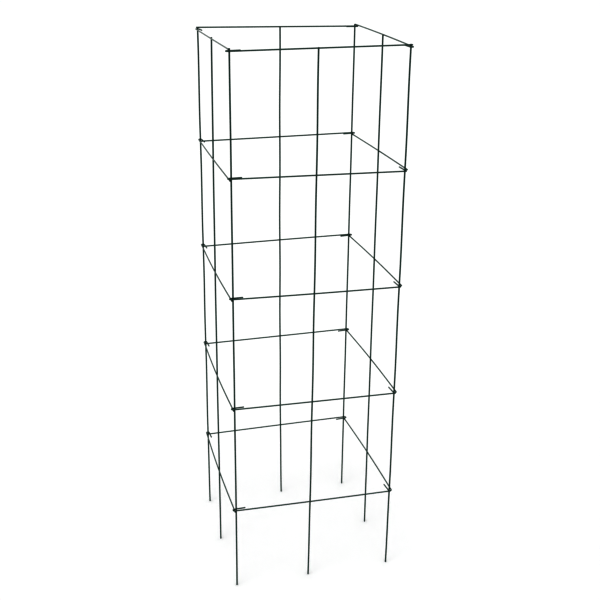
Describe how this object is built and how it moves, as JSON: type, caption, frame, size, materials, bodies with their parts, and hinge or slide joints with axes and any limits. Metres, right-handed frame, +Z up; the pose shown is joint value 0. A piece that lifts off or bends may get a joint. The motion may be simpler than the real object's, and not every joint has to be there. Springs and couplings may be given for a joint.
{
  "type": "tomato cage",
  "caption": "Tall square wire cage of hooked, hinged panels with free legs to push into the soil; it holds up a tomato plant and folds flat.",
  "frame": {"origin": "middle of the base, level with the tips of the legs", "axes": "+Z up along the stakes, the front panel faces -Y and its rails run along X"},
  "size_m": [0.4628, 0.4628, 1.4788],
  "materials": {
    "green_coat": "semi-gloss dark green coating over steel wire"
  },
  "bodies": {
    "front_panel": {"front_corner_stake": "green_coat", "front_middle_stake": "green_coat", "front_top_rail": "green_coat", "front_upper_rail": "green_coat", "front_middle_rail": "green_coat", "front_lower_rail": "green_coat", "front_bottom_rail": "green_coat"},
    "right_panel": {"right_corner_stake": "green_coat", "right_middle_stake": "green_coat", "right_top_rail": "green_coat", "right_upper_rail": "green_coat", "right_middle_rail": "green_coat", "right_lower_rail": "green_coat", "right_bottom_rail": "green_coat"},
    "back_panel": {"back_corner_stake": "green_coat", "back_middle_stake": "green_coat", "back_top_rail": "green_coat", "back_upper_rail": "green_coat", "back_middle_rail": "green_coat", "back_lower_rail": "green_coat", "back_bottom_rail": "green_coat"},
    "left_panel": {"left_corner_stake": "green_coat", "left_middle_stake": "green_coat", "left_top_rail": "green_coat", "left_upper_rail": "green_coat", "left_middle_rail": "green_coat", "left_lower_rail": "green_coat", "left_bottom_rail": "green_coat"}
  },
  "joints": [
    {"name": "right_fold", "type": "hinge", "parent": "front_panel", "child": "right_panel", "pos_m": [0.22052, -0.22147, 0.7394], "axis": [0, 0, 1], "range_deg": [-87, 87]},
    {"name": "left_fold", "type": "hinge", "parent": "front_panel", "child": "left_panel", "pos_m": [-0.22147, -0.22052, 0.7394], "axis": [0, 0, 1], "range_deg": [-87, 87]},
    {"name": "back_fold", "type": "hinge", "parent": "right_panel", "child": "back_panel", "pos_m": [0.22147, 0.22052, 0.7394], "axis": [0, 0, 1], "range_deg": [-87, 87]}
  ],
  "couplings": [
    {"joint": "left_fold", "follows": "right_fold", "ratio": 1},
    {"joint": "back_fold", "follows": "right_fold", "ratio": -1}
  ]
}
